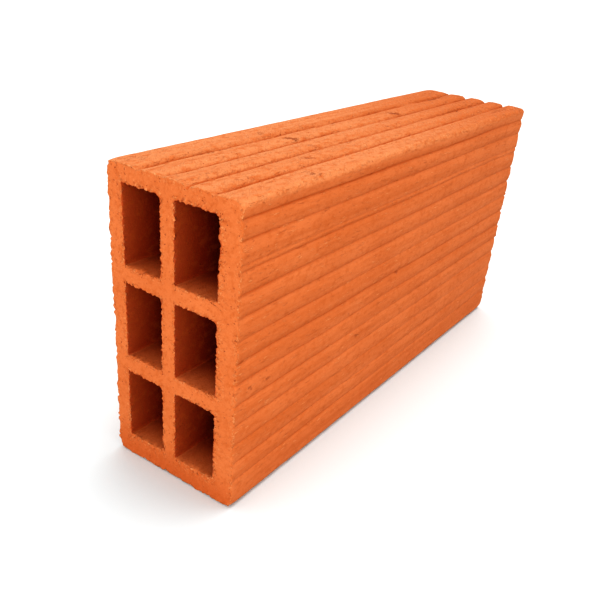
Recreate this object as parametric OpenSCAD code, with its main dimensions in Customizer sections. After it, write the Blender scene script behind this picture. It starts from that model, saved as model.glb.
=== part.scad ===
// Horizontally cored clay brick for partition walls: one extruded and fired piece.
// X runs along the cells, Y across the wall, Z up. Z = 0 is the lower bed face.
// Facing the near end (-X), the right side is -Y and the left side is +Y.

/* [Overall] */
// Length along the cells, between the two wire-cut ends
length = 400; // [200:5:500]
// Thickness across the wall that the brick makes
thickness = 100; // [80:1:150]
// Height as laid, from bed face to bed face
height = 200; // [140:1:250]
// Radius of the four long corners
corner_r = 4.5; // [2:0.5:8]

/* [Walls and webs] */
// Wall behind the right side face
wall_right = 16; // [8:0.5:20]
// Wall behind the left side face
wall_left = 12.5; // [8:0.5:20]
// Wall over the top row of cells
wall_top = 11.5; // [8:0.5:20]
// Wall under the bottom row of cells
wall_bottom = 16; // [8:0.5:20]
// Thickness of the upright web between the two columns of cells
web_upright = 11; // [6:0.5:16]
// How far the upright web stands left of the middle of the cell space
web_offset = 1.3; // [-4:0.1:4]
// Thickness of the level webs between the rows of cells
web_level = 12; // [6:0.5:16]

/* [Cells] */
// Rows of cells, one above the other
rows = 3; // [2:1:4]
// Radius of the cells' corners
cell_r = 3; // [1:0.5:6]

/* [Plaster and mortar grooves] */
// Width of a groove where its round bottom starts
groove_w = 3; // [2:0.25:4]
// Depth of a groove below the face
groove_depth = 1.8; // [1:0.1:3]
// Width of the shallow hollow that eases a groove's two lips
shoulder_w = 9; // [6:0.5:12]
// Depth of that hollow at its middle
shoulder_depth = 0.5; // [0.2:0.1:0.8]
// Pitch of the grooves on the right side face
pitch_right = 14.1; // [12.5:0.1:25]
// Distance of its first groove from the top
first_right = 10.5; // [4:0.5:20]
// Which groove of the right side is cut as a pair, counted from the top, or 0 for none
pair_right = 3; // [0:1:12]
// Distance between the two grooves of that pair
pair_gap = 4.5; // [4.5:0.1:7]
// Pitch of the grooves on the left side face
pitch_left = 15.9; // [12.5:0.1:25]
// Distance of its first groove from the top
first_left = 14.5; // [4:0.5:20]
// Pitch of the grooves on the two bed faces, which they share
pitch_bed = 18.5; // [14:0.5:30]
// How far those grooves stand right of the middle
bed_offset = 2; // [-3:0.5:3]
// Least distance of a groove from the lower edge of a side face
edge_side = 8; // [6:0.5:20]
// Least distance of a groove from the edges of a bed face, before the set is moved
edge_bed = 18; // [12:0.5:30]

/* [Hidden] */
$fn = 96;
eps = 1; // how far a cutter stands out of the face that it cuts

// Two columns of cells share the space that the walls and the upright web leave.
cell_w_mean = (thickness - wall_right - wall_left - web_upright) / 2;
cell_h = (height - wall_top - wall_bottom - (rows - 1) * web_level) / rows;

// Each column is [its right edge, its width], measured across the brick from the middle.
column_right = [-thickness / 2 + wall_right, cell_w_mean + web_offset];
column_left = [column_right[0] + column_right[1] + web_upright, cell_w_mean - web_offset];
columns = [column_right, column_left];

shoulder_r = (pow(shoulder_w / 2, 2) + pow(shoulder_depth, 2)) / (2 * shoulder_depth);
notch_r = groove_w / 2;
notch_centre = groove_depth - notch_r; // depth of the round bottom's centre

// Groove heights on a side face, counted down from the top.
function side_grooves(first, pitch) = [for (z = height - first; z >= edge_side; z = z - pitch) z];

// The same heights, with groove number n replaced by two that stand gap apart.
function paired(heights, n, gap) = [
    for (i = [0:len(heights) - 1])
        each i + 1 == n ? [heights[i] + gap / 2, heights[i] - gap / 2] : [heights[i]]
];

// Groove places across a bed face: as many as fit about the middle, then moved as a set.
bed_count = floor((thickness - 2 * edge_bed) / pitch_bed) + 1;
bed_grooves = [for (i = [0:bed_count - 1]) (i - (bed_count - 1) / 2) * pitch_bed - bed_offset];

// A rectangle with round corners, from its lower right corner in the section.
module round_rect(w, h, r) {
    union() {
        translate([r, 0]) square([w - 2 * r, h]);
        translate([0, r]) square([w, h - 2 * r]);
        for (x = [r, w - r], y = [r, h - r]) translate([x, y]) circle(r);
    }
}

// The cutter of one groove in a face that lies on y = 0 and looks along +y.
module groove() {
    translate([0, shoulder_r - shoulder_depth]) circle(shoulder_r);
    translate([0, -notch_centre]) circle(notch_r);
    translate([-notch_r, -max(notch_centre, 0)]) square([groove_w, max(notch_centre, 0) + eps]);
}

// All grooves in the section: two side faces, then the two bed faces.
module grooves() {
    for (z = paired(side_grooves(first_right, pitch_right), pair_right, pair_gap))
        translate([-thickness / 2, z]) rotate(90) groove();
    for (z = side_grooves(first_left, pitch_left))
        translate([thickness / 2, z]) rotate(-90) groove();
    for (y = bed_grooves) {
        translate([y, height]) groove();
        translate([y, 0]) rotate(180) groove();
    }
}

// The open cells of the section.
module cells() {
    for (column = columns, row = [0:rows - 1])
        translate([column[0], wall_bottom + row * (cell_h + web_level)])
            round_rect(column[1], cell_h, cell_r);
}

// The section that the die gives the clay.
module section() {
    difference() {
        translate([-thickness / 2, 0]) round_rect(thickness, height, corner_r);
        grooves();
        cells();
    }
}

// The brick: the section, cut off square at both ends.
module brick() {
    color("#e8743c")
        rotate([90, 0, 90]) linear_extrude(length, center = true) section();
}

brick();
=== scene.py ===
import math

import bpy
import numpy as np
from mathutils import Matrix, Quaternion, Vector


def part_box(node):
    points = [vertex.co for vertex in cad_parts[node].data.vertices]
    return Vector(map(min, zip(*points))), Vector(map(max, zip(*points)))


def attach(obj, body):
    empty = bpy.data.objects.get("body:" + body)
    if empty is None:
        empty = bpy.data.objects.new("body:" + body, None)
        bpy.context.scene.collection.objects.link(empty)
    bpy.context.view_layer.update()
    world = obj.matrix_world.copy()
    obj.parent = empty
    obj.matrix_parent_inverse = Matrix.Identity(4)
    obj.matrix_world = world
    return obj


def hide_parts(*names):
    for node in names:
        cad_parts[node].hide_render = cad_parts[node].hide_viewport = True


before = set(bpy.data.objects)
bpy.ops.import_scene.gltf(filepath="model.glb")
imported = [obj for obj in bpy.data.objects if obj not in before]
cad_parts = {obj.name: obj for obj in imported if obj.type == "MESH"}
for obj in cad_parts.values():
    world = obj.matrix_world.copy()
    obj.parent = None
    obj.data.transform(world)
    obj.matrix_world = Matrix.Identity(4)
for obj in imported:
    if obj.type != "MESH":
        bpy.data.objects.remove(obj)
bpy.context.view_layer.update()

# Everything on the brick is worked out in millimetres: x along the cells from the near end at 0,
# y across from the right side at 0, z up from the lower bed. toFrame puts that into the frame.
millimetre = 0.001
lowCorner, highCorner = (np.array(corner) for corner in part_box("brick"))
length, thickness, height = (highCorner - lowCorner) / millimetre

# Four values in brackets go round the section: lower bed, left side, upper bed, right side. Four
# radii go round its corners from the lower right one. The strengths have one value a groove: from
# the top down on the right side, and from left to right on the upper bed.
brick = {
    # the section that the die gives
    "wallRight": 16.0, "wallLeft": 12.5, "wallTop": 11.5, "wallBottom": 16.0,
    "webUpright": 11.0, "webOffset": 1.3, "webLevel": 12.0, "rows": 3,
    "outerRadii": (4.5, 5.0, 4.5, 4.5), "cellRadii": (3.2, 1.2, 1.2, 3.6),
    # places of the grooves
    "firstRight": 10.5, "pitchRight": 14.1, "pairRight": 3, "pairGap": 4.5,
    "firstLeft": 14.5, "pitchLeft": 15.9, "edgeSide": 8.0,
    "pitchBed": 18.5, "edgeBed": 18.0, "bedOffset": 2.0,
    "dieShift": {2: -2.6, 3: -1.3, 4: -2.1, 14: -0.7},  # right grooves that stand off their even place
    # shape of the grooves: depths, half widths, and how strong each one is
    "notchDepth": (1.1, 0.7, 1.2, 0.42), "notchHalf": (1.7, 1.2, 2.5, 1.2),
    "lean": (0.0, -0.2, 0.0, 0.2),                      # how much gentler the lower flank is
    "crownDepth": (0.8, 0.5, 1.9, 1.6),                 # how far a band falls towards its grooves
    "lip": (0.2, 0.1, 0.25, 0.15), "lipPlace": 1.6, "lipWidth": 0.9,    # place in half widths
    "rightStrength": (1.5, 0.9, 0.5, 0.75, 0.9, 1.05, 0.75, 0.95, 0.9, 0.75, 0.65, 0.4, 0.6, 0.6),
    "upperStrength": (1.6, 1.55, 1.45, 1.15), "farFading": (0.0, 0.0, 0.0, 0.5),
    "unevenness": (0.4, 0.4, 0.9, 0.4), "unevenLength": (70.0, 70.0, 26.0, 70.0), "unevenWidth": 0.2,
    "nearSmear": (0.6, 0.0, 0.3, 0.6), "smearReach": 9.0,
    "grooveCornerReach": 2.0,                           # grooves die out this near to a long corner
    # the drawn faces: waves by their height and by their lengths along, across and up
    "skinInset": 0.22, "wander": 0.6, "wanderLengths": (60.0, 30.0, 30.0),
    "swell": 0.11, "swellLengths": (70.0, 35.0, 35.0),
    "drag": 0.13, "dragLengths": (42.0, 2.1, 2.1), "rubShare": 0.8, "rubLengths": (9.0, 2.6, 2.6),
    "arrisLoss": 0.6, "arrisReach": 4.0, "arrisEvenShare": 0.3, "arrisCrumbleShare": 0.7,
    "crumbleLengths": (5.0, 5.0, 5.0), "breakLengths": (17.0, 9.0, 9.0),
    "cornerLoss": 1.5, "cornerReach": 9.0,
    # the cut ends
    "endRound": 0.3, "endReach": 1.6, "nibble": 0.6, "nibbleLength": 1.7,
    "fineNibble": 0.6, "fineNibbleLength": 0.9,
    "chipDepth": 1.5, "chipReach": 3.4, "chipLength": 8.0, "chipOnset": 0.45,
    "endRecess": 0.5, "recessReach": 2.5, "recessNibble": 0.2, "recessChip": 0.6, "leastRecess": 0.05,
    "cutCoarse": 0.26, "cutCoarseLength": 4.2, "cutFine": 0.14, "cutFineLength": 1.4,
    "rimRelief": 0.75, "rimLength": 1.1, "rimWidth": 0.25, "rimShare": 0.3,
    # the torn mouths of the cells: teeth by side, in ragged stretches
    "teeth": (1.8, 1.0, 1.5, 1.7), "toothLength": 1.9, "toothReach": 3.4,
    "fineTooth": 0.6, "fineToothLength": 0.8, "toothBack": 0.15,
    "stretchMean": 0.55, "stretchSwing": 0.45, "stretchLength": 9.0,
    "fray": 0.5, "frayLeast": 0.4, "frayDepth": 1.2, "frayLength": 1.3, "recessTear": 0.3,
    # long bites: column, row, side, share of the side, half length, depth
    "bites": ((0, 2, 3, 0.36, 6.5, 1.5), (0, 1, 3, 0.3, 5.0, 1.2), (1, 1, 2, 0.5, 6.0, 1.0),
              (0, 2, 2, 0.55, 4.0, 1.2), (1, 2, 0, 0.6, 6.0, 1.3), (0, 0, 0, 0.5, 7.0, 1.0)),
    # the cells' walls
    "cellSwell": 0.3, "cellSwellLengths": (60.0, 14.0, 14.0),
    "cellDrag": 0.15, "cellDragLengths": (25.0, 2.5, 2.5), "cellWaveReach": 12.0,
    # how far the worn look reaches from corners, ends, the end's outline and mouths; on the cut ends it
    # also carries the painted shade of pits along the rims. wornFoot multiplies the distance from the foot,
    # which makes the foot less worn.
    "wornCorner": 6.0, "wornEnd": 4.0, "wornOutline": 7.0, "wornFoot": 1.5, "wornMouth": 3.0,
    # spacing of the mesh
    "grooveStops": (0.0, 0.5, 1.0, 1.6, 2.6, 4.3), "bandStep": 2.3, "closest": 0.25,
    "cornerTurns": (45, 34, 22, 11, 0), "cornerGap": 0.4, "splitGap": 0.5,
    "edgeStops": (0.0, 0.3, 0.7, 1.4, 2.5, 4.2, 6.5), "nearSpan": 40.0, "nearStep": 3.0, "farStep": 5.2,
    "mouthStops": (0.0, 0.5, 1.2, 2.3, 4.2), "cellStops": (7.0, 14.0, 30.0, 60.0, 120.0),
    "outerRing": (0.04, 0.13, 0.34), "innerRing": (0.6, 0.82, 0.94), "middleStep": 1.5,
}

noiseSize = 64
noiseTable = np.random.default_rng(11).uniform(-1, 1, (noiseSize, noiseSize, noiseSize))
seedShift = (17.3, 5.1, 9.7)


def softNoise(x, y, z, seed=0):
    # smooth values from -1 to 1: random numbers at whole coordinates, eased together in between.
    # A seed, or a bare number as a coordinate, only picks which part of the noise is used.
    shifted = np.broadcast_arrays(*(place + shift * seed for place, shift in zip((x, y, z), seedShift)))
    whole = [np.floor(v).astype(int) for v in shifted]
    part = [v - w for v, w in zip(shifted, whole)]
    ease = [p * p * (3 - 2 * p) for p in part]
    total = 0
    for corner in range(8):
        bits = [(corner >> axis) & 1 for axis in range(3)]
        index = tuple((w + b) % noiseSize for w, b in zip(whole, bits))
        weight = np.prod([e if b else 1 - e for e, b in zip(ease, bits)], axis=0)
        total = total + weight * noiseTable[index]
    return total


def waves(x, across, up, lengths, seed):
    # softNoise with its own wave length in each direction
    return softNoise(x / lengths[0], across / lengths[1], up / lengths[2], seed=seed)


def fade(distance, reach):
    # 1 at distance 0, falling to 0 at reach as the square of what is left
    return np.clip(1 - distance / reach, 0, 1) ** 2


def ramp(distance, reach):
    # 1 at distance 0, falling evenly to 0 at reach
    return np.clip(1 - distance / reach, 0, 1)


def hollow(distance, half):
    # half a cosine wave: 1 at distance 0, 0 from half onwards
    return 0.5 + 0.5 * np.cos(np.pi * np.clip(np.abs(distance) / half, 0, 1))


def cornerCut(radius):
    # how far along its side the middle of a round corner lies: the radius less its share at 45 degrees
    return radius * (1 - math.sqrt(0.5))


def sideStops(span, centres, splits, lowRadius, highRadius):
    # places along one side of the section: set distances from each groove, even steps on the bands,
    # the splits between tiles, and the turns of the two half corners
    offsets = np.array(brick["grooveStops"])
    near = (np.asarray(centres)[:, None] + np.concatenate([-offsets[1:], offsets])).ravel()
    bands = np.arange(lowRadius, span - highRadius, brick["bandStep"])
    gap = np.abs(bands[:, None] - np.concatenate([centres, splits])).min(axis=1)
    inner = np.sort(np.concatenate([near, bands[gap > offsets[-1] + brick["bandStep"] / 3]]))
    gapAtCorner = brick["cornerGap"]
    inner = inner[(inner > lowRadius + gapAtCorner) & (inner < span - highRadius - gapAtCorner)]
    inner = inner[np.abs(inner[:, None] - splits).min(axis=1) > brick["splitGap"]]
    inner = inner[np.append(True, np.diff(inner) > brick["closest"])]
    turn = 1 - np.sin(np.radians(brick["cornerTurns"]))
    return np.sort(np.concatenate([lowRadius * turn, inner, splits, span - highRadius * turn]))


def sideCurve(stops, span, lowRadius, highRadius):
    # a straight side with a quarter round at each end: the inset is radius * (1 - sqrt(1 - turn^2)),
    # and the normal's two shares, along the side and inwards, come from the same turns
    lowTurn = np.clip((lowRadius - stops) / lowRadius, 0, 1)
    highTurn = np.clip((highRadius - span + stops) / highRadius, 0, 1)
    lowIn, highIn = np.sqrt(1 - lowTurn ** 2), np.sqrt(1 - highTurn ** 2)
    return lowRadius * (1 - lowIn) + highRadius * (1 - highIn), lowTurn - highTurn, lowIn * highIn


def closedLoop(corner, width, tall, radii, stopsBySide):
    # rounded rectangle: bottom, left, top and right side in turn, each without its last point.
    # radii go with the corners in the same turn, from the one where the bottom starts.
    corners = [corner, corner + [width, 0], corner + [width, tall], corner + [0, tall]]
    alongs = np.array([[1, 0], [0, 1], [-1, 0], [0, -1]], float)
    inwards = np.array([[0, 1], [-1, 0], [0, -1], [1, 0]], float)
    points, normals, tangents = [], [], []
    for side, stops in enumerate(stopsBySide):
        distance, span = stops[:-1, None], [width, tall][side % 2]
        along, inward = alongs[side], inwards[side]
        inset, normalAlong, normalIn = sideCurve(distance, span, radii[side], radii[(side + 1) % 4])
        points.append(corners[side] + distance * along + inset * inward)
        normals.append(normalAlong * along + normalIn * inward)
        tangents.append(normalIn * along - normalAlong * inward)
    counts = [len(stops) - 1 for stops in stopsBySide]
    points = np.concatenate(points)
    steps = np.linalg.norm(np.diff(points, axis=0), axis=1)
    return {"points": points, "inward": np.concatenate(normals), "tangent": np.concatenate(tangents),
            "side": np.repeat(np.arange(4), counts), "starts": np.cumsum([0] + counts),
            "around": np.concatenate([[0], np.cumsum(steps)])[None, :]}


def grooveRow(first, pitch, pair=0, shifts=()):
    # distances of a side's grooves from the top: first + n * pitch down to the least edge, with one
    # of them cut as a pair, and each numbered shift added
    hair = 0.01                                         # lets a groove stand exactly on the least edge
    places = np.arange(first, height - brick["edgeSide"] + hair, pitch)
    if pair:
        halves = places[pair - 1] + brick["pairGap"] * np.array([-0.5, 0.5])
        places = np.sort(np.concatenate([np.delete(places, pair - 1), halves]))
    for number, shift in shifts:
        places[number - 1] += shift
    return places


cellSpace = thickness - brick["wallRight"] - brick["wallLeft"] - brick["webUpright"]
cellWidths = [cellSpace / 2 + brick["webOffset"], cellSpace / 2 - brick["webOffset"]]
cellLows = [brick["wallRight"], brick["wallRight"] + cellWidths[0] + brick["webUpright"]]
rowCount = brick["rows"]
cellTall = (height - brick["wallTop"] - brick["wallBottom"] - (rowCount - 1) * brick["webLevel"]) / rowCount
rowLows = brick["wallBottom"] + np.arange(rowCount) * (cellTall + brick["webLevel"])
splitAcross = cellLows[1] - brick["webUpright"] / 2
splitsUp = rowLows[1:] - brick["webLevel"] / 2

bedCount = int((thickness - 2 * brick["edgeBed"]) / brick["pitchBed"]) + 1
bedGrooves = (np.arange(bedCount) - (bedCount - 1) / 2) * brick["pitchBed"]
bedGrooves = bedGrooves + thickness / 2 - brick["bedOffset"]
leftGrooves = height - grooveRow(brick["firstLeft"], brick["pitchLeft"])
rightGrooves = grooveRow(brick["firstRight"], brick["pitchRight"], brick["pairRight"],
                         brick["dieShift"].items())
grooveCentres = [bedGrooves, leftGrooves, bedGrooves, rightGrooves]
grooveStrengths = [np.ones(len(bedGrooves)), np.ones(len(leftGrooves)),
                   np.resize(brick["upperStrength"], len(bedGrooves))[::-1],
                   np.resize(brick["rightStrength"], len(rightGrooves))]

rightLow, leftLow, leftHigh, rightHigh = brick["outerRadii"]
lowerStops = sideStops(thickness, bedGrooves, np.array([splitAcross]), rightLow, leftLow)
leftStops = sideStops(height, leftGrooves, splitsUp, leftLow, leftHigh)
upperStops = sideStops(thickness, thickness - bedGrooves[::-1], np.array([thickness - splitAcross]),
                       leftHigh, rightHigh)
rightStops = sideStops(height, rightGrooves, height - splitsUp, rightHigh, rightLow)
outline = closedLoop(np.zeros(2), thickness, height, brick["outerRadii"],
                     [lowerStops, leftStops, upperStops, rightStops])


def grooveShape(x, places):
    # depth = notch depth * half cosine wave + crown depth * fall of the band towards the groove, the
    # deepest groove counting, less the highest lip, a bell curve beside each notch. Both depths vary along
    # x with soft noise. The signed tilt mask, the third result, fades from a groove into the band beside
    # it. On the right side, where it is used and distances run down from the top, it is + below a groove
    # and - above; the material paints a highlight where it is +, as the band faces up there, and shade
    # where it is -, as the band faces down.
    inset, notches, tiltShades = np.zeros(x.shape), np.zeros(x.shape), np.zeros(x.shape)
    for side, centres in enumerate(grooveCentres):
        mine = outline["side"] == side
        along, offset = x[:, mine, None], places[side][:, mine, None] - centres
        numbers = 7.3 * np.arange(len(centres)) + 31 * side
        tone = softNoise(along / brick["unevenLength"][side], numbers, 0.5, seed=3)
        strength = (1 + brick["unevenness"][side] * tone) * grooveStrengths[side]
        strength = strength * (1 - brick["nearSmear"][side] * fade(along, brick["smearReach"]))
        fading = 1 - brick["farFading"][side] * along / length
        leaning = 1 + brick["lean"][side] * np.sign(offset)
        half = brick["notchHalf"][side] * leaning * (1 + brick["unevenWidth"] * tone)
        notch = strength * fading * hollow(offset, half)
        fromLip = (np.abs(offset) - brick["lipPlace"] * half) / brick["lipWidth"]
        lip = strength * fading * np.exp(-fromLip ** 2)
        fall = np.minimum(strength, 1) * fade(np.abs(offset), np.diff(centres).max() / 2)
        depth = brick["notchDepth"][side] * notch + brick["crownDepth"][side] * fall
        inset[:, mine] = depth.max(axis=-1) - brick["lip"][side] * lip.max(axis=-1)
        notches[:, mine] = notch.max(axis=-1)
        tiltShades[:, mine] = (np.sign(offset) * fading * fall).sum(axis=-1)
    return inset, notches, tiltShades


def skinStations():
    # distances from the near end of the rows of points along the brick
    edge = np.array(brick["edgeStops"])
    nearCount = round((brick["nearSpan"] - edge[-1]) / brick["nearStep"])
    near = np.linspace(edge[-1], brick["nearSpan"], nearCount + 1)
    farCount = round((length - edge[-1] - near[-1]) / brick["farStep"])
    far = np.linspace(near[-1], length - edge[-1], farCount + 1)
    return np.concatenate([edge, near[1:], far[1:], (length - edge[:-1])[::-1]])


def drawnSkin():
    # the outline carried along x. It moves inwards by the sum of grooves, slow swell, drag lines,
    # worn long corners and end corners, nibbles and chips, and sideways by the wander. Its ends
    # stand back along x by the recess. places are across on the beds, up on the left side, and
    # down from the top on the right side.
    x, across = np.meshgrid(skinStations(), outline["points"][:, 0], indexing="ij")
    up = np.broadcast_to(outline["points"][:, 1], x.shape)
    around = outline["around"]
    places = [across, up, across, height - up]
    fromCorner = np.hypot(np.minimum(across, thickness - across), np.minimum(up, height - up))
    fromEnd = np.minimum(x, length - x)
    endSeed = np.where(x < length / 2, 0, 40)

    wander = brick["wander"] * waves(x, across, up, brick["wanderLengths"], 1)
    wander = wander * (1 - fade(fromCorner, 2 * brick["arrisReach"]))
    inset, notches, tiltShades = grooveShape(x, places)
    inset = inset * (1 - fade(fromCorner, brick["grooveCornerReach"])) + brick["skinInset"]
    swell = waves(x, across, up, brick["swellLengths"], 2)
    drag = waves(x, across, up, brick["dragLengths"], 4)
    drag = drag + brick["rubShare"] * waves(x, across, up, brick["rubLengths"], 10)
    inset = inset + brick["swell"] * swell + brick["drag"] * drag
    crumble = (waves(x, across, up, brick["crumbleLengths"], 5)
               + waves(x, across, up, brick["breakLengths"], 6))
    inset = inset + (brick["arrisLoss"] * fade(fromCorner, brick["arrisReach"])
                     * (brick["arrisEvenShare"] + brick["arrisCrumbleShare"] * crumble))
    inset = inset + (brick["cornerLoss"] * fade(fromCorner, brick["cornerReach"])
                     * fade(fromEnd, brick["cornerReach"]))

    nibble = softNoise(around / brick["nibbleLength"] + endSeed, 0.3, 0.7, seed=7)
    fineNibble = softNoise(around / brick["fineNibbleLength"] + endSeed, 0.6, 0.1, seed=11)
    nibble = nibble + brick["fineNibble"] * fineNibble
    chips = softNoise(around / brick["chipLength"] + endSeed, 0.1, 0.9, seed=8)
    chips = np.clip(chips - brick["chipOnset"], 0, 1) / (1 - brick["chipOnset"])
    inset = inset + (brick["endRound"] + brick["nibble"] * nibble) * fade(fromEnd, brick["endReach"])
    inset = inset + brick["chipDepth"] * chips * fade(fromEnd, brick["chipReach"])
    inset = np.maximum(inset, 0)

    sectionPoints = (outline["points"] + inset[..., None] * outline["inward"]
                     + wander[..., None] * outline["tangent"])
    recess = brick["endRecess"] + brick["recessNibble"] * nibble + brick["recessChip"] * chips
    recess = np.maximum(recess, 0)
    x = x + np.where(x < length / 2, 1, -1) * recess * ramp(fromEnd, brick["recessReach"])
    edge = np.maximum(fade(fromCorner, brick["wornCorner"]), fade(fromEnd, brick["wornEnd"]))
    rightSide = outline["side"] == 3
    traits = {"notch": notches, "edge": edge, "tiltShade": tiltShades * rightSide}
    return np.concatenate([x[..., None], sectionPoints], axis=-1), traits


def cellLoop(column, row, counts):
    # a cell's rounded rectangle, with so many points along each of its sides
    width, radii = cellWidths[column], brick["cellRadii"]
    low = np.array([cellLows[column], rowLows[row]])
    stops = [np.linspace(cornerCut(radii[side]), span - cornerCut(radii[(side + 1) % 4]), counts[side])
             for side, span in enumerate([width, cellTall, width, cellTall])]
    return closedLoop(low, width, cellTall, radii, stops)


def mouthTears(loop, column, row, seed):
    # shift into the cell: the side's tooth size * (tooth noise * stretch noise - a set back), less a
    # half cosine wave for each long bite
    around = loop["around"][0] + seed
    teeth = softNoise(around / brick["toothLength"], 0.4, 0.2, seed=12)
    teeth = teeth + brick["fineTooth"] * softNoise(around / brick["fineToothLength"], 0.8, 0.2, seed=13)
    stretches = softNoise(around / brick["stretchLength"], 0.1, 0.6, seed=14)
    stretches = brick["stretchMean"] + brick["stretchSwing"] * stretches
    tears = np.array(brick["teeth"])[loop["side"]] * (teeth * stretches - brick["toothBack"])
    for biteColumn, biteRow, side, share, half, deep in brick["bites"]:
        if (biteColumn, biteRow) == (column, row):
            mine = loop["side"] == side
            distance = loop["around"][0] - np.interp(share, [0, 1], loop["around"][0][mine][[0, -1]])
            tears = tears - deep * hollow(distance, half) * mine
    return tears


def cellTube(loop, stations, column, row, farEnd):
    # the cell's loop carried into the brick from one end. Points move into the cell by tears and
    # fray, which fade with depth, and by slow swell and drag lines, which set in as they fade.
    depth = np.asarray(stations)[:, None]
    seed = 31 * column + 57 * row + 97 * farEnd
    across, up = loop["points"].T[:, None, :]
    x = np.where(farEnd, length - depth, depth)
    tears = mouthTears(loop, column, row, seed)
    fray = softNoise(depth / brick["frayDepth"], loop["around"] / brick["frayLength"], seed, seed=17)
    fray = brick["fray"] * fray * (brick["frayLeast"] + np.abs(tears))
    swell = waves(x, across, up, brick["cellSwellLengths"], 15 + column + 3 * row)
    drag = waves(x, across, up, brick["cellDragLengths"], 16)
    shift = ((tears + fray) * fade(depth, brick["toothReach"])
             + (brick["cellSwell"] * swell + brick["cellDrag"] * drag)
             * (1 - fade(depth, brick["cellWaveReach"])))
    points = loop["points"] + shift[..., None] * loop["inward"]
    recess = np.maximum(brick["endRecess"] + brick["recessTear"] * tears, brick["leastRecess"])
    recess = recess * ramp(depth, brick["recessReach"])
    x = x + np.where(farEnd, -1, 1) * recess
    return np.concatenate([np.broadcast_to(x, shift.shape)[..., None], points], axis=-1)


class Shell:
    # gathers points, their traits and faces from grids of points
    def __init__(self):
        self.points, self.faces, self.count = [], [], 0
        self.traits = {name: [] for name in ("cut", "cell", "edge", "notch", "tiltShade", "level")}

    def add(self, points, **traits):
        # takes in a grid of points with their traits, and gives back the grid of their numbers
        index = self.count + np.arange(points[..., 0].size).reshape(points.shape[:-1])
        self.points.append(points.reshape(-1, 3))
        self.count += points[..., 0].size
        for name, values in self.traits.items():
            values.append(np.broadcast_to(traits.get(name, 0.0), index.shape).ravel())
        return index

    def join(self, index, flip=False):
        # one quad from each point to the next row and column, the last column going on to the first
        following = np.roll(index, -1, axis=1)
        quads = np.stack([index[:-1], following[:-1], following[1:], index[1:]], axis=-1).reshape(-1, 4)
        self.faces += (quads[:, ::-1] if flip else quads).tolist()

    def refine(self, coarse, fine, flip=False):
        # a ring to one of twice as many points: three triangles for each coarse step
        after, middle, end = np.roll(coarse, -1), fine[1::2], np.roll(fine[::2], -1)
        triangles = np.concatenate([np.stack([coarse, middle, fine[::2]], axis=-1),
                                    np.stack([coarse, after, middle], axis=-1),
                                    np.stack([after, end, middle], axis=-1)])
        self.faces += (triangles[:, ::-1] if flip else triangles).tolist()

    def place(self, index):
        # where the numbered points are
        return np.concatenate(self.points)[index]


def straight(shell, first, last, count, x):
    # a run of evenly spaced new points at x between two that exist, with those two at its ends
    ends = shell.place(np.array([first, last]))
    share = np.linspace(0, 1, count)[1:-1, None]
    points = ends[0] + (ends[1] - ends[0]) * share
    points[:, 0] = x
    return np.concatenate([[first], shell.add(points, cut=1.0), [last]])


def endTiles(shell, ring, x):
    # splits an end face into one tile round each cell, and gives the points along its four sides
    starts = outline["starts"]
    closed = np.append(ring, ring[0])
    bed, left, top, right = (closed[starts[side]:starts[side + 1] + 1] for side in range(4))
    top, right = top[::-1], right[::-1]
    lowerSplit = int(np.argmin(np.abs(lowerStops - splitAcross)))
    upperSplit = int(np.argmin(np.abs(thickness - upperStops[::-1] - splitAcross)))
    leftSplits = [0, *(int(np.argmin(np.abs(leftStops - z))) for z in splitsUp), len(left) - 1]
    rightUp = height - rightStops[::-1]
    rightSplits = [0, *(int(np.argmin(np.abs(rightUp - z))) for z in splitsUp), len(right) - 1]
    crossings = shell.add(np.array([[x, splitAcross, z] for z in splitsUp]), cut=1.0)
    middle = [bed[lowerSplit], *crossings, top[upperSplit]]
    uprights = []
    for low, high in zip(middle[:-1], middle[1:]):
        tall = np.ptp(shell.place(np.array([low, high]))[:, 2])
        uprights.append(straight(shell, low, high, round(tall / brick["middleStep"]), x))
    levels = [[bed[:lowerSplit + 1], bed[lowerSplit:]]]
    for number, crossing in enumerate(crossings, start=1):
        levels.append([straight(shell, right[rightSplits[number]], crossing, lowerSplit + 1, x),
                       straight(shell, crossing, left[leftSplits[number]], len(bed) - lowerSplit, x)])
    levels.append([top[:upperSplit + 1], top[upperSplit:]])
    tiles = {}
    for row in range(rowCount):
        rightSide = right[rightSplits[row]:rightSplits[row + 1] + 1]
        leftSide = left[leftSplits[row]:leftSplits[row + 1] + 1]
        for column, risers in enumerate([(uprights[row], rightSide), (leftSide, uprights[row])]):
            lower, upper = levels[row][column], levels[row + 1][column]
            tiles[column, row] = [lower, risers[0], upper[::-1], risers[1][::-1]]
    return tiles


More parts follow.
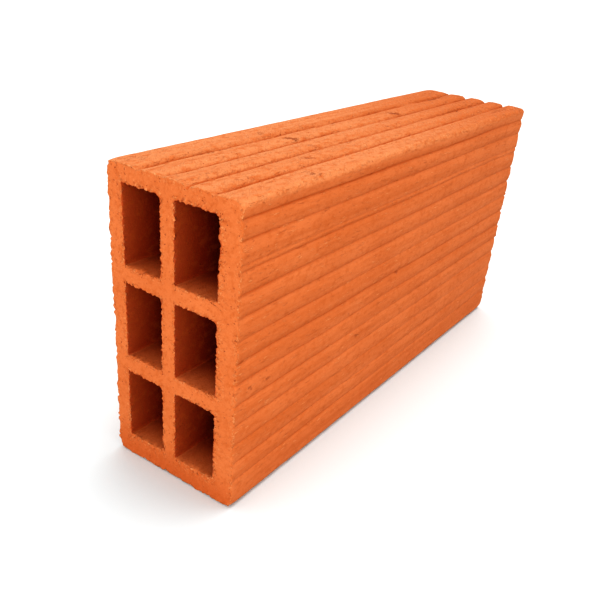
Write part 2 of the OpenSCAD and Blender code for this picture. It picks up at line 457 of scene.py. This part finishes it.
def cutFace(shell, sides, mouth, farEnd):
    # rings of points from a tile's sides in to the mouth, the inner rings with twice as many
    outer = np.concatenate([side[:-1] for side in sides])
    outerPlace, mouthPlace = shell.place(outer)[None], shell.place(mouth)[None]
    halfWay = (outerPlace + np.roll(outerPlace, -1, axis=1)) / 2
    finePlace = np.stack([outerPlace, halfWay], axis=2).reshape(1, -1, 3)

    def ringsBetween(starts, ends, shares):
        # rings at start + (end - start) * share. Their depth below the end goes from the outline's
        # to a mean recess with coarse and fine noise, and rougher noise in a bell curve at the mouth.
        share = np.array(shares)[:, None, None]
        rings = starts + (ends - starts) * share
        y, z = rings[..., 1], rings[..., 2]
        coarse = softNoise(y / brick["cutCoarseLength"], z / brick["cutCoarseLength"], farEnd, seed=21)
        fine = softNoise(y / brick["cutFineLength"], z / brick["cutFineLength"], farEnd, seed=22)
        rim = softNoise(y / brick["rimLength"], z / brick["rimLength"], farEnd, seed=23)
        rim = rim * np.exp(-((share[..., 0] - 1) / brick["rimWidth"]) ** 2)
        recess = (brick["endRecess"] + brick["cutCoarse"] * coarse + brick["cutFine"] * fine
                  + brick["rimRelief"] * rim)
        outerRecess = np.where(farEnd, length - starts[..., 0], starts[..., 0])
        blend = np.minimum(share[..., 0] / brick["rimShare"], 1)
        recess = np.maximum(outerRecess + (recess - outerRecess) * blend, brick["leastRecess"])
        rings[..., 0] = np.where(farEnd, length - recess, recess)
        fromSides = np.minimum(y, thickness - y)
        fromOutline = np.minimum(fromSides, np.minimum(brick["wornFoot"] * z, height - z))
        worn = np.maximum(share[..., 0] ** 3, fade(fromOutline, brick["wornOutline"]))
        return shell.add(rings, cut=1.0, edge=worn)

    outerRows = ringsBetween(outerPlace, mouthPlace[:, ::2], brick["outerRing"])
    innerRows = ringsBetween(finePlace, mouthPlace, brick["innerRing"])
    shell.join(np.concatenate([outer[None], outerRows]), flip=not farEnd)
    shell.refine(outerRows[-1], innerRows[0], flip=not farEnd)
    shell.join(np.concatenate([innerRows, mouth[None]]), flip=not farEnd)


def brickMesh():
    # the skin, then for each cell its two torn mouths, its two end tiles and the tube between
    shell = Shell()
    points, traits = drawnSkin()
    skin = shell.add(points, **traits)
    shell.join(skin)
    nearTiles = endTiles(shell, skin[0], brick["endRecess"])
    farTiles = endTiles(shell, skin[-1], length - brick["endRecess"])
    deep = np.array(brick["cellStops"])
    for (column, row), sides in nearTiles.items():
        counts = [len(side) for side in sides]
        fineLoop = cellLoop(column, row, [2 * count - 1 for count in counts])
        coarseLoop = cellLoop(column, row, counts)
        mouthEdge = fade(np.array(brick["mouthStops"])[:, None], brick["wornMouth"])
        fineTraits = {"cell": 1.0, "edge": mouthEdge, "level": fineLoop["side"] == 0}
        near = shell.add(cellTube(fineLoop, brick["mouthStops"], column, row, False), **fineTraits)
        far = shell.add(cellTube(fineLoop, brick["mouthStops"], column, row, True), **fineTraits)
        stations = np.concatenate([deep, (length - deep)[::-1]])
        tube = shell.add(cellTube(coarseLoop, stations, column, row, False), cell=1.0,
                         level=coarseLoop["side"] == 0)
        shell.join(near, flip=True)
        shell.refine(tube[0], near[-1])
        shell.join(tube, flip=True)
        shell.refine(tube[-1], far[-1], flip=True)
        shell.join(far)
        cutFace(shell, sides, near[0], False)
        cutFace(shell, farTiles[column, row], far[0], True)
    return shell


def toFrame(points):
    # millimetres * 0.001 + the box's lowest corner
    return points * millimetre + lowCorner


def makePiece(name, shell):
    # the shell as one mesh, with its traits as attributes for the material
    mesh = bpy.data.meshes.new(name)
    mesh.from_pydata(toFrame(np.concatenate(shell.points)).tolist(), [], shell.faces)
    mesh.polygons.foreach_set("use_smooth", np.ones(len(shell.faces), bool))
    for trait, values in shell.traits.items():
        mesh.attributes.new(trait, "FLOAT", "POINT").data.foreach_set("value", np.concatenate(values))
    mesh.validate()
    mesh.update()
    piece = bpy.data.objects.new(name, mesh)
    bpy.context.scene.collection.objects.link(piece)
    return piece


class Wire:
    # a shader socket that takes part in sums: every operator adds one Math node
    def __init__(self, tree, socket=None):
        self.tree, self.socket = tree, socket

    def node(self, kind, settings=None, values=None, output=0):
        # any node: its settings first, then what goes into its sockets, by name or number
        made = self.tree.nodes.new(kind)
        for name, setting in (settings or {}).items():
            setattr(made, name, setting)
        for name, value in (values or {}).items():
            if isinstance(value, Wire):
                self.tree.links.new(value.socket, made.inputs[name])
            else:
                made.inputs[name].default_value = value
        return Wire(self.tree, made.outputs[output] if made.outputs else None)

    def maths(self, operation, *values):
        # one Math node with these values in its sockets, in turn
        return self.node("ShaderNodeMath", {"operation": operation}, dict(enumerate(values)))

    def __add__(self, other):
        return self.maths("ADD", self, other)

    def __radd__(self, other):
        return self.maths("ADD", other, self)

    def __sub__(self, other):
        return self.maths("SUBTRACT", self, other)

    def __rsub__(self, other):
        return self.maths("SUBTRACT", other, self)

    def __mul__(self, other):
        return self.maths("MULTIPLY", self, other)

    def __rmul__(self, other):
        return self.maths("MULTIPLY", other, self)

    def ramp(self, low, high):
        # 0 below low, 1 above high, eased in between
        settings = {"interpolation_type": "SMOOTHSTEP"}
        return self.node("ShaderNodeMapRange", settings, {0: self, 1: low, 2: high})


clay = {
    # among these tones, a paler upper bed is a painted sheen, and the cell, groove, tear and pit tones are
    # painted shade; the paler, deeper and crumb tones serve the clay's own colour as well as painted
    # highlight and shade
    "orange": (0.52, 0.165, 0.054, 1), "palerToneAndHighlight": (0.58, 0.205, 0.078, 1), "deeperToneAndShade": (0.43, 0.115, 0.022, 1),
    "bedSheenOrange": (0.53, 0.235, 0.108, 1), "footRed": (0.45, 0.095, 0.014, 1),
    "cellShadeRed": (0.31, 0.036, 0.002, 1), "cellDeepShade": (0.12, 0.010, 0.001, 1),
    "grooveShadeRed": (0.42, 0.088, 0.002, 1), "tearShadeRed": (0.25, 0.050, 0.004, 1),
    "pitShade": (0.20, 0.032, 0.004, 1), "crumbAndHighlight": (0.68, 0.32, 0.15, 1),
    "roughness": 0.85, "specular": 0.25, "reliefDepth": 0.0006,
    # noise patterns: waves in a metre along, across and up, then detail and roughness
    "patterns": {
        "clouds": (20, 28, 28, 3, 0.5), "mottle": (170, 260, 260, 3, 0.6), "bands": (4, 190, 190, 2, 0.6),
        "grain": (900, 900, 900, 3, 0.65), "sand": (1400, 1400, 1400, 2, 0.7),
        "streaks": (30, 600, 600, 3, 0.6), "dashes": (95, 760, 760, 2, 0.6),
        "lightDashes": (140, 900, 900, 2, 0.6), "scuffs": (60, 420, 420, 3, 0.6),
        "pits": (520, 560, 560, 2, 0.6), "patchPits": (480, 620, 620, 2, 0.6),
        "lipPits": (400, 400, 400, 2, 0.7), "crumbs": (560, 560, 560, 2, 0.6),
    },
    # the noise values over which each pattern's mark goes from nothing to full
    "onsets": {
        "clouds": (0.35, 0.68), "mottle": (0.46, 0.7), "highlights": (0.55, 0.66), "bands": (0.4, 0.7),
        "grain": (0.5, 0.78), "sand": (0.6, 0.8), "streaks": (0.5, 0.72), "dashes": (0.66, 0.76),
        "lightDashes": (0.64, 0.74), "crumbs": (0.57, 0.63),
        "dashRidges": (0.62, 0.74), "lightRidges": (0.6, 0.74),
    },
    # the same for marks that lie in a pattern's lows: full below the first, nothing above the second
    "lows": {"pits": (0.25, 0.34), "patchPits": (0.36, 0.44), "lipPits": (0.33, 0.41),
             "gouges": (0.33, 0.44)},
    # where the looks change, in metres: below the top, above the foot, in from an end, and along x. In from
    # an end, cells are painted lighter near their mouths and painted darker still over the shade depths;
    # along x, the upper bed is painted darker towards the far end and grows rougher.
    "bedReach": (0.006, 0.001), "footReach": 0.03, "litDepth": 0.035, "cellShadeDepths": (0.008, 0.055),
    "bedShadeFrom": (-0.05, 0.2), "roughFrom": (0.06, 0.2),
    "scuffTurn": -40,                                   # degrees from the brick's length
    # ragged rims of tears, nicks and patches, and the share of each over which it fades out
    "jitterScale": 380.0, "jitterDetail": 3.0, "jitterSize": (0.009, 0.007, 0.007),
    "markDepth": 9, "tearSoftness": 0.5, "nickSoftness": 0.6, "patchSoftness": 0.8,
    # tears on the upper bed: distance along, place from the right side, half length, half width,
    # turn in degrees, strength
    "bedTears": ((126, 63.0, 7.0, 2.4, -35, 1.0), (266, 62.5, 8.0, 2.6, -32, 1.0),
                 (357, 72.5, 24.0, 2.8, 0, 1.0), (327, 36.5, 13.0, 2.6, 0, 1.2),
                 (193, 73.5, 8.0, 1.6, 28, 1.0), (94, 28.2, 7.0, 1.6, -35, 0.6),
                 (123, 44.0, 5.0, 2.0, -50, 0.4), (119, 83.0, 5.0, 1.4, 28, 0.5),
                 (69, 7.0, 4.0, 1.4, 20, 0.6), (72, 3.5, 3.0, 1.2, 0, 0.6),
                 (58, 73.0, 22.0, 2.0, 0, 0.5), (362, 11.5, 24.0, 2.4, 0, 0.4),
                 (155, 36.0, 9.0, 1.8, 0, 0.5)),
    # nicks on the right side: distance along, distance from the top, half length, half height, strength
    "sideNicks": ((137, 129.0, 4.5, 1.8, 0.5), (189, 95.7, 3.5, 1.5, 0.5),
                  (31, 116.0, 2.6, 1.3, 0.5), (14, 115.0, 2.2, 1.8, 0.5)),
    # patches of the upper bed that are full of pits: as the tears, without the turn
    "pitPatches": ((31, 26.0, 13.0, 5.0, 1.0), (94, 29.0, 12.0, 5.0, 0.8), (12, 90.0, 14.0, 8.0, 0.9),
                   (68, 11.0, 16.0, 7.0, 0.7), (20, 43.0, 22.0, 5.0, 0.7), (150, 40.0, 30.0, 6.0, 0.5)),
}


def firedClay():
    # colour = layers of clay tones, each over the last by a mask: slow clouds, redder foot, and cells with
    # painted light near their mouths and painted shade further in, then mottle, grain and streaks, then
    # crumbs, pits, grooves and tears, the last three painted darker as painted shade. The upper bed is
    # painted paler as a painted sheen and darker towards its far end as painted shade; bands on the right
    # side get a painted highlight where they face up and painted shade where they face down, and small drag
    # tears on the drawn faces get painted shade and highlight. Relief is the sum of the same patterns. Cut
    # ends are sandy and pitted; drawn faces are streaked along x. The nodes are near the most that Cycles
    # can hold: many more turn the brick black without an error.
    material = bpy.data.materials.new("firedClay")
    material.use_nodes = True
    tree = material.node_tree
    tree.nodes.clear()
    start = Wire(tree)
    place = start.node("ShaderNodeTexCoord", output="Object")

    def trait(name):
        # a value that the mesh carries at its points
        return start.node("ShaderNodeAttribute", {"attribute_name": name}, output="Fac")

    def noise(x, y, z, detail, roughness, origin=place):
        # noise of the place times the waves in a metre along each axis
        scaled = start.node("ShaderNodeVectorMath", {"operation": "MULTIPLY"}, {0: origin, 1: (x, y, z)})
        values = {"Vector": scaled, "Scale": 1.0, "Detail": detail, "Roughness": roughness}
        return start.node("ShaderNodeTexNoise", {"noise_dimensions": "3D"}, values)

    def mixed(share, first, second):
        # first * (1 - share) + second * share
        values = {"Factor": share, "A": first, "B": second}
        return start.node("ShaderNodeMix", {"data_type": "RGBA"}, values, output="Result")

    cut, cell, edge, notch, tiltShade, level = (
        trait(name) for name in ("cut", "cell", "edge", "notch", "tiltShade", "level"))
    alongAxis = start.node("ShaderNodeSeparateXYZ", values={0: place}, output="X")
    heightUp = start.node("ShaderNodeSeparateXYZ", values={0: place}, output="Z")
    fromMiddle = alongAxis.maths("ABSOLUTE", alongAxis)
    endAt, topAt = float(highCorner[0]), float(highCorner[2])
    outside = (1 - cut) * (1 - cell)
    bed = heightUp.ramp(*(topAt - reach for reach in clay["bedReach"])) * outside
    foot = (1 - heightUp.ramp(0, clay["footReach"])) * cut
    # masks for painted light and shade in the cells: the first rises from 0 at an end to 1 past the lit
    # depth, the second from 0 to 1 over the shade depths further in
    inCell = 1 - fromMiddle.ramp(endAt - clay["litDepth"], endAt)
    deepShade = 1 - fromMiddle.ramp(endAt - clay["cellShadeDepths"][1], endAt - clay["cellShadeDepths"][0])
    rough = alongAxis.ramp(*clay["roughFrom"]) * bed

    turned = start.node("ShaderNodeMapping", values={
        "Vector": place, "Rotation": (0, 0, math.radians(clay["scuffTurn"]))})
    patterns = {name: noise(*values, turned if name == "scuffs" else place)
                for name, values in clay["patterns"].items()}
    grain, mottle, sand, streaks, scuffs = (
        patterns[name] for name in ("grain", "mottle", "sand", "streaks", "scuffs"))
    jitter = start.node("ShaderNodeTexNoise", values={
        "Vector": place, "Scale": clay["jitterScale"], "Detail": clay["jitterDetail"]}, output="Color")
    centred = start.node("ShaderNodeVectorMath", {"operation": "SUBTRACT"}, {0: jitter, 1: (0.5, 0.5, 0.5)})
    ragged = start.node("ShaderNodeVectorMath", {"operation": "MULTIPLY_ADD"},
                        {0: centred, 1: clay["jitterSize"], 2: place})

    def marks(name, pattern=None):
        # 0 where a pattern is below its onset, 1 where it is above it
        return patterns[pattern or name].ramp(*clay["onsets"][name])

    def lows(name, pattern=None):
        # 1 in a pattern's low places, 0 elsewhere
        return 1 - patterns[pattern or name].ramp(*clay["lows"][name])

    def ellipse(centre, sizes, turn, soft, strength):
        # its strength inside an ellipsoid with a ragged rim, falling to 0 over its outer part
        values = {"Vector": ragged, "Location": toFrame(np.array(centre)),
                  "Rotation": (0, 0, math.radians(turn)), "Scale": np.array(sizes) * millimetre}
        local = start.node("ShaderNodeMapping", {"vector_type": "TEXTURE"}, values)
        distance = start.node("ShaderNodeVectorMath", {"operation": "LENGTH"}, {0: local}, output="Value")
        return (1 - distance.ramp(1 - soft, 1)) * strength

    def strongest(masks):
        # the greatest of several masks
        greatest = masks[0]
        for mask in masks[1:]:
            greatest = greatest.maths("MAXIMUM", greatest, mask)
        return greatest

    deep, tornRim, nickRim = clay["markDepth"], clay["tearSoftness"], clay["nickSoftness"]
    tornMarks = [ellipse((along, across, height), (halfLength, halfWidth, deep), turn, tornRim, strength)
                 for along, across, halfLength, halfWidth, turn, strength in clay["bedTears"]]
    nickMarks = [ellipse((along, 0, height - down), (halfLength, deep, halfTall), 0, nickRim, strength)
                 for along, down, halfLength, halfTall, strength in clay["sideNicks"]]
    tears = strongest(tornMarks + nickMarks)
    patches = strongest([
        ellipse((along, across, height), (halfLength, halfWidth, deep), 0, clay["patchSoftness"], strength)
        for along, across, halfLength, halfWidth, strength in clay["pitPatches"]])
    # painted shade: these pit masks mark holes too small for the mesh, which are painted dark
    pits = lows("pits")
    patchPits = lows("patchPits") * patches
    lipPits = lows("lipPits") * edge * cut
    gouges = lows("gouges", "mottle") * rough
    crumbs = marks("crumbs") * edge

    # each layer is its share of the colour, with 1 as all of it, and its tone
    colour = mixed(0.3 + 0.45 * marks("clouds"), clay["orange"], clay["palerToneAndHighlight"])
    for share, tone in (
            # painted sheen: the upper bed is painted paler, standing in for the light that grazes across it
            (bed * 0.8, "bedSheenOrange"),
            (foot * 0.5, "footRed"),
            # painted shade: the upper bed is painted darker towards its far end, where less light falls
            (bed * alongAxis.ramp(*clay["bedShadeFrom"]) * 0.6, "deeperToneAndShade"),
            (marks("bands") * outside * 0.3, "deeperToneAndShade"),
            # painted light and shade in the cells: darker and redder further in, with floors painted
            # lighter near the mouth; the next layer paints deeper shade still far inside
            (cell * (0.65 + 0.35 * inCell) * (1 - level * (1 - inCell)), "cellShadeRed"),
            (cell * deepShade * 0.75, "cellDeepShade"),
            (marks("mottle") * (0.42 + 0.2 * bed), "deeperToneAndShade"),
            (marks("grain") * 0.4, "deeperToneAndShade"),
            (marks("streaks") * outside * 0.25, "deeperToneAndShade"),
            (marks("sand") * (0.25 + 0.35 * cut + 0.3 * edge), "crumbAndHighlight"),
            (tiltShade.ramp(0.1, 0.9) * 0.45, "palerToneAndHighlight"),             # painted highlight where the band below a groove faces up
            ((-1 * tiltShade).ramp(0.1, 0.9) * 0.25, "deeperToneAndShade"),     # painted shade where the band above a groove faces down
            (crumbs * 0.65, "crumbAndHighlight"),
            # painted shade in the pits along the cut rims
            (lipPits * 0.65, "pitShade"),
            # painted shade: the grooves are painted darker red, where shade and red interreflected light
            # gather in them
            (notch.ramp(0.25, 1.3) * (0.42 + 0.33 * bed), "grooveShadeRed"),
            # painted shade: tears, nicks and gouges are recesses, painted darker red
            (tears * 0.65, "tearShadeRed"),
            (gouges * 0.2, "tearShadeRed"),
            (marks("highlights", "mottle") * (0.15 + 0.25 * rough) * bed, "palerToneAndHighlight"),
            # painted shade in the pits and in the patches full of pits
            (pits * (0.2 + 0.5 * cut + 0.3 * bed), "pitShade"),
            (patchPits * 0.35, "pitShade"),
            # painted shade and highlight of small drag tears: dark dashes for the shade in them, light
            # dashes for their lit lips
            (marks("dashes") * outside * 0.18, "pitShade"),
            (marks("lightDashes") * outside * 0.5, "crumbAndHighlight")):
        colour = mixed(share, colour, clay[tone])

    # heights and depths of the patterns, in reliefDepths
    relief = (0.4 * grain + 0.45 * mottle + 0.25 * (sand - 0.5) * cut + 0.45 * (streaks - 0.5) * outside
              - 0.35 * pits - 0.35 * marks("dashRidges", "dashes") * outside
              + 2.3 * (scuffs - 0.5) * bed + 0.3 * marks("lightRidges", "lightDashes") * outside
              + 1.5 * (mottle - 0.5) * bed
              - 1.7 * tears - 0.8 * gouges - 0.4 * patchPits - 0.4 * lipPits + 0.4 * crumbs)
    bumped = start.node("ShaderNodeBump", values={
        "Strength": 1.0, "Distance": clay["reliefDepth"], "Height": relief}, output="Normal")
    shader = start.node("ShaderNodeBsdfPrincipled", values={
        "Base Color": colour, "Roughness": clay["roughness"], "Specular IOR Level": clay["specular"],
        "Normal": bumped})
    start.node("ShaderNodeOutputMaterial", values={"Surface": shader})
    print("fired clay:", len(tree.nodes), "nodes")
    return material


def plainMaterial(name, colour, roughness):
    # one colour all over, without a shine
    material = bpy.data.materials.new(name)
    material.use_nodes = True
    shader = material.node_tree.nodes["Principled BSDF"].inputs
    shader["Base Color"].default_value = colour
    shader["Roughness"].default_value = roughness
    shader["Specular IOR Level"].default_value = 0.0
    return material


studio = {
    "cameraPlace": (-0.4686, -0.2623, 0.3138), "cameraAim": (-0.0514, 0.0002, 0.0312),
    "cameraRoll": 5.73, "lens": 43.07, "sensorWidth": 36.0, "lensShift": (-0.0074, 0.0882),
    "look": "Very High Contrast",
    "floorSize": 12.0, "floorGap": 0.1,                 # metres across; millimetres below the brick
    "floorColour": (0.615, 0.643, 0.65, 1), "floorRoughness": 0.9,
    "skyColour": (1.0, 1.0, 1.0, 1), "skyStrength": 0.77,
    "lamps": (                                          # name, place, aim, size, power
        ("overheadLamp", (2.6, -0.7, 14.0), (0.0, 0.0, 0.1), 8.5, 690.0),
        ("frontLamp", (-1.5, -0.88, 0.6), (0.0, 0.0, 0.1), 1.2, 9.5),
    ),
}


def pointAt(item, place, aim, roll=0.0):
    # puts a lamp or camera at a place, looking at its aim, and links it
    item.location = place
    turn = (Vector(aim) - Vector(place)).to_track_quat("-Z", "Y")
    item.rotation_mode = "QUATERNION"
    item.rotation_quaternion = turn @ Quaternion((0, 0, 1), math.radians(roll))
    bpy.context.scene.collection.objects.link(item)


def makeCamera():
    # a camera at its place, with the shift that sets the brick off the middle of the picture
    lens = bpy.data.cameras.new("camera")
    lens.lens, lens.sensor_width = studio["lens"], studio["sensorWidth"]
    lens.shift_x, lens.shift_y = studio["lensShift"]
    camera = bpy.data.objects.new("camera", lens)
    pointAt(camera, studio["cameraPlace"], studio["cameraAim"], studio["cameraRoll"])
    bpy.context.scene.camera = camera


def makeFloor():
    # a level square a hair below the brick
    half = studio["floorSize"] / 2
    level = lowCorner[2] - studio["floorGap"] * millimetre
    corners = [(-half, -half, level), (half, -half, level), (half, half, level), (-half, half, level)]
    mesh = bpy.data.meshes.new("floor")
    mesh.from_pydata(corners, [], [(0, 1, 2, 3)])
    floor = bpy.data.objects.new("floor", mesh)
    paint = plainMaterial("floorPaint", studio["floorColour"], studio["floorRoughness"])
    floor.data.materials.append(paint)
    bpy.context.scene.collection.objects.link(floor)


def makeLights():
    # round lamps, an even white sky, and how the light becomes the picture
    for name, place, aim, size, power in studio["lamps"]:
        lamp = bpy.data.lights.new(name, "AREA")
        lamp.shape, lamp.size, lamp.energy = "DISK", size, power
        pointAt(bpy.data.objects.new(name, lamp), place, aim)
    world = bpy.data.worlds.new("studioSky")
    world.use_nodes = True
    sky = world.node_tree.nodes["Background"].inputs
    sky["Color"].default_value, sky["Strength"].default_value = studio["skyColour"], studio["skyStrength"]
    bpy.context.scene.world = world
    view = bpy.context.scene.view_settings
    view.view_transform, view.look = "Standard", studio["look"]


makeCamera()
makeFloor()
makeLights()
print("studio: camera, floor and", len(studio["lamps"]), "lamps")

brickPiece = makePiece("hollow_brick", brickMesh())
brickPiece.data.materials.append(firedClay())
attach(brickPiece, "root")
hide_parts("brick")
triangles = sum(len(polygon.vertices) - 2 for polygon in brickPiece.data.polygons)
print("brick:", len(brickPiece.data.vertices), "points,", triangles, "triangles")
